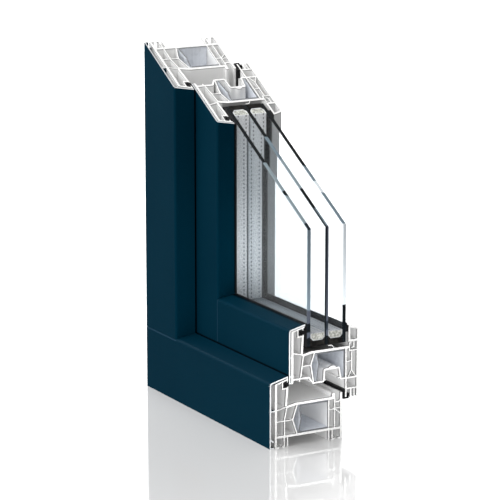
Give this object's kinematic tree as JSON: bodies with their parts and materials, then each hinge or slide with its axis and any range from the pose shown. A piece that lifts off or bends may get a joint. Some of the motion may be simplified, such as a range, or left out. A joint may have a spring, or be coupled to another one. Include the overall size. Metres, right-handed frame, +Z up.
{
  "type": "pvc window profile corner sample",
  "caption": "Cut-away corner of a clad PVC window: steel-reinforced frame and sash profiles, aluminium covers, gaskets, glazing bead and triple glazing.",
  "frame": {"origin": "on the floor, under the middle of the sample's box", "axes": "+X along the rail, from the stile's outer edge to the square cut; +Y from outdoors to the room; +Z up the stile"},
  "size_m": [0.26, 0.0998, 0.364],
  "materials": {
    "white_pvc": "smooth extruded",
    "galvanised_steel": "galvanised",
    "blue_aluminium": "satin powder coat",
    "glass": "clear float glass",
    "spacer_aluminium": "mill",
    "desiccant": "loose beads",
    "edge_sealant": "matte",
    "gasket_rubber": "matte"
  },
  "bodies": {
    "root": {"frame_rail_cover": "blue_aluminium", "frame_rail_profile": "white_pvc", "frame_rail_steel": "galvanised_steel", "frame_stile_cover": "blue_aluminium", "frame_stile_profile": "white_pvc", "frame_stile_steel": "galvanised_steel", "middle_pane": "glass", "outdoor_pane": "glass", "outdoor_rail_desiccant": "desiccant", "outdoor_rail_edge_seal": "edge_sealant", "outdoor_rail_spacer": "spacer_aluminium", "outdoor_stile_desiccant": "desiccant", "outdoor_stile_edge_seal": "edge_sealant", "outdoor_stile_spacer": "spacer_aluminium", "rail_bead": "white_pvc", "rail_frame_gasket": "gasket_rubber", "rail_inner_glazing_gasket": "gasket_rubber", "rail_outer_glazing_gasket": "gasket_rubber", "rail_sash_gasket": "gasket_rubber", "room_pane": "glass", "room_rail_desiccant": "desiccant", "room_rail_edge_seal": "edge_sealant", "room_rail_spacer": "spacer_aluminium", "room_stile_desiccant": "desiccant", "room_stile_edge_seal": "edge_sealant", "room_stile_spacer": "spacer_aluminium", "sash_rail_cover": "blue_aluminium", "sash_rail_profile": "white_pvc", "sash_rail_steel": "galvanised_steel", "sash_stile_cover": "blue_aluminium", "sash_stile_profile": "white_pvc", "sash_stile_steel": "galvanised_steel", "stile_bead": "white_pvc", "stile_frame_gasket": "gasket_rubber", "stile_inner_glazing_gasket": "gasket_rubber", "stile_outer_glazing_gasket": "gasket_rubber", "stile_sash_gasket": "gasket_rubber"}
  },
  "joints": []
}
